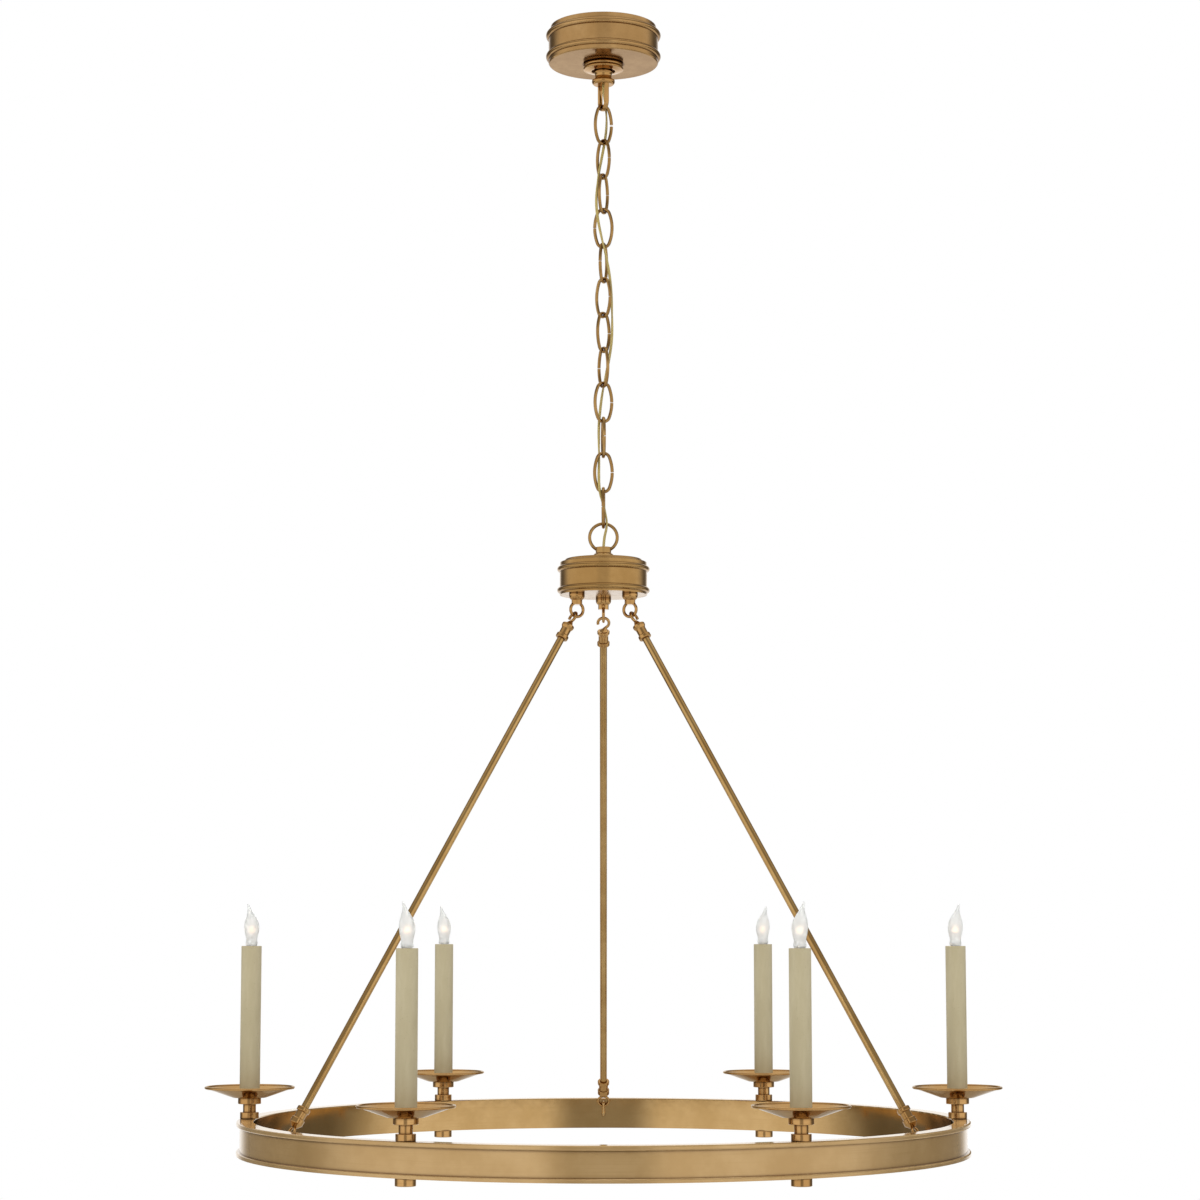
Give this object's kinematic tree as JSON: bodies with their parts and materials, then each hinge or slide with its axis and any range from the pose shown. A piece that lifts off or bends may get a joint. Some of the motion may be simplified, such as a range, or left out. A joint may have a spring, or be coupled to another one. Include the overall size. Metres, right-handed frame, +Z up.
{
  "type": "ring chandelier",
  "caption": "Hanging ring chandelier: ceiling canopy, chain with woven lamp cord, hub with hooked rods, and a hollow ring that carries candle lights on drip pans.",
  "frame": {"origin": "centre of the ceiling strap's screw pattern, on the ceiling plane", "axes": "+Z up into the ceiling, +X to the right and -Y towards the viewer of the picture"},
  "size_m": [1.0016, 0.9144, 1.4576],
  "materials": {
    "antique_brass": "burnished antique patina",
    "plated_steel": "zinc plated",
    "candle_ivory": "matt ivory",
    "bulb_glass": "frosted",
    "lamp_socket": "matt",
    "cord_jacket": "clear gold jacket",
    "wire_jacket": "matt"
  },
  "bodies": {
    "ceiling_mount": {"ceiling_strap": "plated_steel", "ground_screw": "plated_steel", "strap_nipple": "plated_steel", "strap_locknuts": "plated_steel", "canopy_loop": "antique_brass", "supply_cord": "cord_jacket"},
    "canopy": {"canopy_shell": "antique_brass", "canopy_ring_nut": "antique_brass"},
    "link_01": {"chain_link_01": "antique_brass"},
    "link_02": {"chain_link_02": "antique_brass"},
    "link_03": {"chain_link_03": "antique_brass"},
    "link_04": {"chain_link_04": "antique_brass"},
    "link_05": {"chain_link_05": "antique_brass"},
    "link_06": {"chain_link_06": "antique_brass"},
    "link_07": {"chain_link_07": "antique_brass"},
    "link_08": {"chain_link_08": "antique_brass"},
    "link_09": {"chain_link_09": "antique_brass"},
    "link_10": {"chain_link_10": "antique_brass"},
    "link_11": {"chain_link_11": "antique_brass"},
    "link_12": {"chain_link_12": "antique_brass"},
    "hub": {"hub_loop": "antique_brass", "hub_cap": "antique_brass", "hub_band": "antique_brass", "hub_base_plate": "antique_brass", "hub_nipple": "plated_steel", "hub_eye_1": "antique_brass", "hub_eye_2": "antique_brass", "hub_eye_3": "antique_brass", "hub_eye_nuts": "plated_steel"},
    "rod_1": {"rod_tube_1": "antique_brass", "rod_hook_1": "antique_brass", "rod_foot_1": "antique_brass"},
    "rod_2": {"rod_tube_2": "antique_brass", "rod_hook_2": "antique_brass", "rod_foot_2": "antique_brass"},
    "rod_3": {"rod_tube_3": "antique_brass", "rod_hook_3": "antique_brass", "rod_foot_3": "antique_brass"},
    "ring": {"ring_channel": "antique_brass", "ring_base_strip": "antique_brass", "ring_staples": "antique_brass", "ring_wiring": "wire_jacket", "candle_nipples": "plated_steel", "candle_posts": "antique_brass", "drip_pans": "antique_brass", "candle_nuts": "antique_brass", "lamp_holders": "lamp_socket"},
    "sleeve_1": {"candle_sleeve_1": "candle_ivory"},
    "sleeve_2": {"candle_sleeve_2": "candle_ivory"},
    "sleeve_3": {"candle_sleeve_3": "candle_ivory"},
    "sleeve_4": {"candle_sleeve_4": "candle_ivory"},
    "sleeve_5": {"candle_sleeve_5": "candle_ivory"},
    "sleeve_6": {"candle_sleeve_6": "candle_ivory"},
    "bulb_1": {"bulb_1": "bulb_glass"},
    "bulb_2": {"bulb_2": "bulb_glass"},
    "bulb_3": {"bulb_3": "bulb_glass"},
    "bulb_4": {"bulb_4": "bulb_glass"},
    "bulb_5": {"bulb_5": "bulb_glass"},
    "bulb_6": {"bulb_6": "bulb_glass"}
  },
  "joints": [
    {"name": "canopy_slide", "type": "slide", "parent": "ceiling_mount", "child": "canopy", "axis": [0, 0, -1], "range_m": [0, 0.045]},
    {"name": "link_01_swing", "type": "hinge", "parent": "ceiling_mount", "child": "link_01", "pos_m": [0, 0, -0.10963], "axis": [0.3907, -0.9205, 0], "range_deg": [-8, 8], "deforming": ["supply_cord"]},
    {"name": "link_02_swing", "type": "hinge", "parent": "link_01", "child": "link_02", "pos_m": [0, 0, -0.15532], "axis": [-0.9272, -0.3746, 0], "range_deg": [-8, 8], "deforming": ["supply_cord"]},
    {"name": "link_03_swing", "type": "hinge", "parent": "link_02", "child": "link_03", "pos_m": [0, 0, -0.20112], "axis": [-0.682, 0.7314, 0], "range_deg": [-8, 8], "deforming": ["supply_cord"]},
    {"name": "link_04_swing", "type": "hinge", "parent": "link_03", "child": "link_04", "pos_m": [0, 0, -0.24693], "axis": [0.4695, 0.8829, 0], "range_deg": [-8, 8], "deforming": ["supply_cord"]},
    {"name": "link_05_swing", "type": "hinge", "parent": "link_04", "child": "link_05", "pos_m": [0, 0, -0.29273], "axis": [0.9925, -0.1219, 0], "range_deg": [-8, 8], "deforming": ["supply_cord"]},
    {"name": "link_06_swing", "type": "hinge", "parent": "link_05", "child": "link_06", "pos_m": [0, 0, -0.33853], "axis": [-0.3746, -0.9272, 0], "range_deg": [-8, 8], "deforming": ["supply_cord"]},
    {"name": "link_07_swing", "type": "hinge", "parent": "link_06", "child": "link_07", "pos_m": [0, 0, -0.38433], "axis": [-0.766, 0.6428, 0], "range_deg": [-8, 8], "deforming": ["supply_cord"]},
    {"name": "link_08_swing", "type": "hinge", "parent": "link_07", "child": "link_08", "pos_m": [0, 0, -0.43012], "axis": [0.6561, 0.7547, 0], "range_deg": [-8, 8], "deforming": ["supply_cord"]},
    {"name": "link_09_swing", "type": "hinge", "parent": "link_08", "child": "link_09", "pos_m": [0, 0, -0.47592], "axis": [0.5, -0.866, 0], "range_deg": [-8, 8], "deforming": ["supply_cord"]},
    {"name": "link_10_swing", "type": "hinge", "parent": "link_09", "child": "link_10", "pos_m": [0, 0, -0.52172], "axis": [-0.9511, -0.309, 0], "range_deg": [-8, 8], "deforming": ["supply_cord"]},
    {"name": "link_11_swing", "type": "hinge", "parent": "link_10", "child": "link_11", "pos_m": [0, 0, -0.56752], "axis": [-0.1045, 0.9945, 0], "range_deg": [-8, 8], "deforming": ["supply_cord"]},
    {"name": "link_12_swing", "type": "hinge", "parent": "link_11", "child": "link_12", "pos_m": [0, 0, -0.61333], "axis": [0.9986, 0.0523, 0], "range_deg": [-8, 8], "deforming": ["supply_cord"]},
    {"name": "hub_swing", "type": "hinge", "parent": "link_12", "child": "hub", "pos_m": [0, 0, -0.65912], "axis": [-0.0349, -0.9994, 0], "range_deg": [-8, 8], "deforming": ["supply_cord"]},
    {"name": "ring_twist", "type": "hinge", "parent": "hub", "child": "ring", "pos_m": [0, 0, -1.40758], "axis": [0, 0, 1], "range_deg": [-12, 12], "stiffness_Nm_per_rad": 2},
    {"name": "rod_1_swivel", "type": "hinge", "parent": "hub", "child": "rod_1", "pos_m": [0, 0.04367, -0.77533], "axis": [0, 0, 1], "range_deg": [-13.4, 13.4]},
    {"name": "rod_2_swivel", "type": "hinge", "parent": "hub", "child": "rod_2", "pos_m": [-0.03782, -0.02184, -0.77533], "axis": [0, 0, 1], "range_deg": [-13.4, 13.4]},
    {"name": "rod_3_swivel", "type": "hinge", "parent": "hub", "child": "rod_3", "pos_m": [0.03782, -0.02184, -0.77533], "axis": [0, 0, 1], "range_deg": [-13.4, 13.4]},
    {"name": "sleeve_1_lift", "type": "slide", "parent": "ring", "child": "sleeve_1", "axis": [0, 0, 1], "range_m": [0, 0.245]},
    {"name": "bulb_1_lift", "type": "slide", "parent": "ring", "child": "bulb_1", "axis": [0, 0, 1], "range_m": [0, 0.035]},
    {"name": "sleeve_2_lift", "type": "slide", "parent": "ring", "child": "sleeve_2", "axis": [0, 0, 1], "range_m": [0, 0.245]},
    {"name": "bulb_2_lift", "type": "slide", "parent": "ring", "child": "bulb_2", "axis": [0, 0, 1], "range_m": [0, 0.035]},
    {"name": "sleeve_3_lift", "type": "slide", "parent": "ring", "child": "sleeve_3", "axis": [0, 0, 1], "range_m": [0, 0.245]},
    {"name": "bulb_3_lift", "type": "slide", "parent": "ring", "child": "bulb_3", "axis": [0, 0, 1], "range_m": [0, 0.035]},
    {"name": "sleeve_4_lift", "type": "slide", "parent": "ring", "child": "sleeve_4", "axis": [0, 0, 1], "range_m": [0, 0.245]},
    {"name": "bulb_4_lift", "type": "slide", "parent": "ring", "child": "bulb_4", "axis": [0, 0, 1], "range_m": [0, 0.035]},
    {"name": "sleeve_5_lift", "type": "slide", "parent": "ring", "child": "sleeve_5", "axis": [0, 0, 1], "range_m": [0, 0.245]},
    {"name": "bulb_5_lift", "type": "slide", "parent": "ring", "child": "bulb_5", "axis": [0, 0, 1], "range_m": [0, 0.035]},
    {"name": "sleeve_6_lift", "type": "slide", "parent": "ring", "child": "sleeve_6", "axis": [0, 0, 1], "range_m": [0, 0.245]},
    {"name": "bulb_6_lift", "type": "slide", "parent": "ring", "child": "bulb_6", "axis": [0, 0, 1], "range_m": [0, 0.035]}
  ],
  "couplings": [
    {"joint": "rod_1_swivel", "follows": "ring_twist", "ratio": 1.113},
    {"joint": "rod_2_swivel", "follows": "ring_twist", "ratio": 1.113},
    {"joint": "rod_3_swivel", "follows": "ring_twist", "ratio": 1.113}
  ]
}
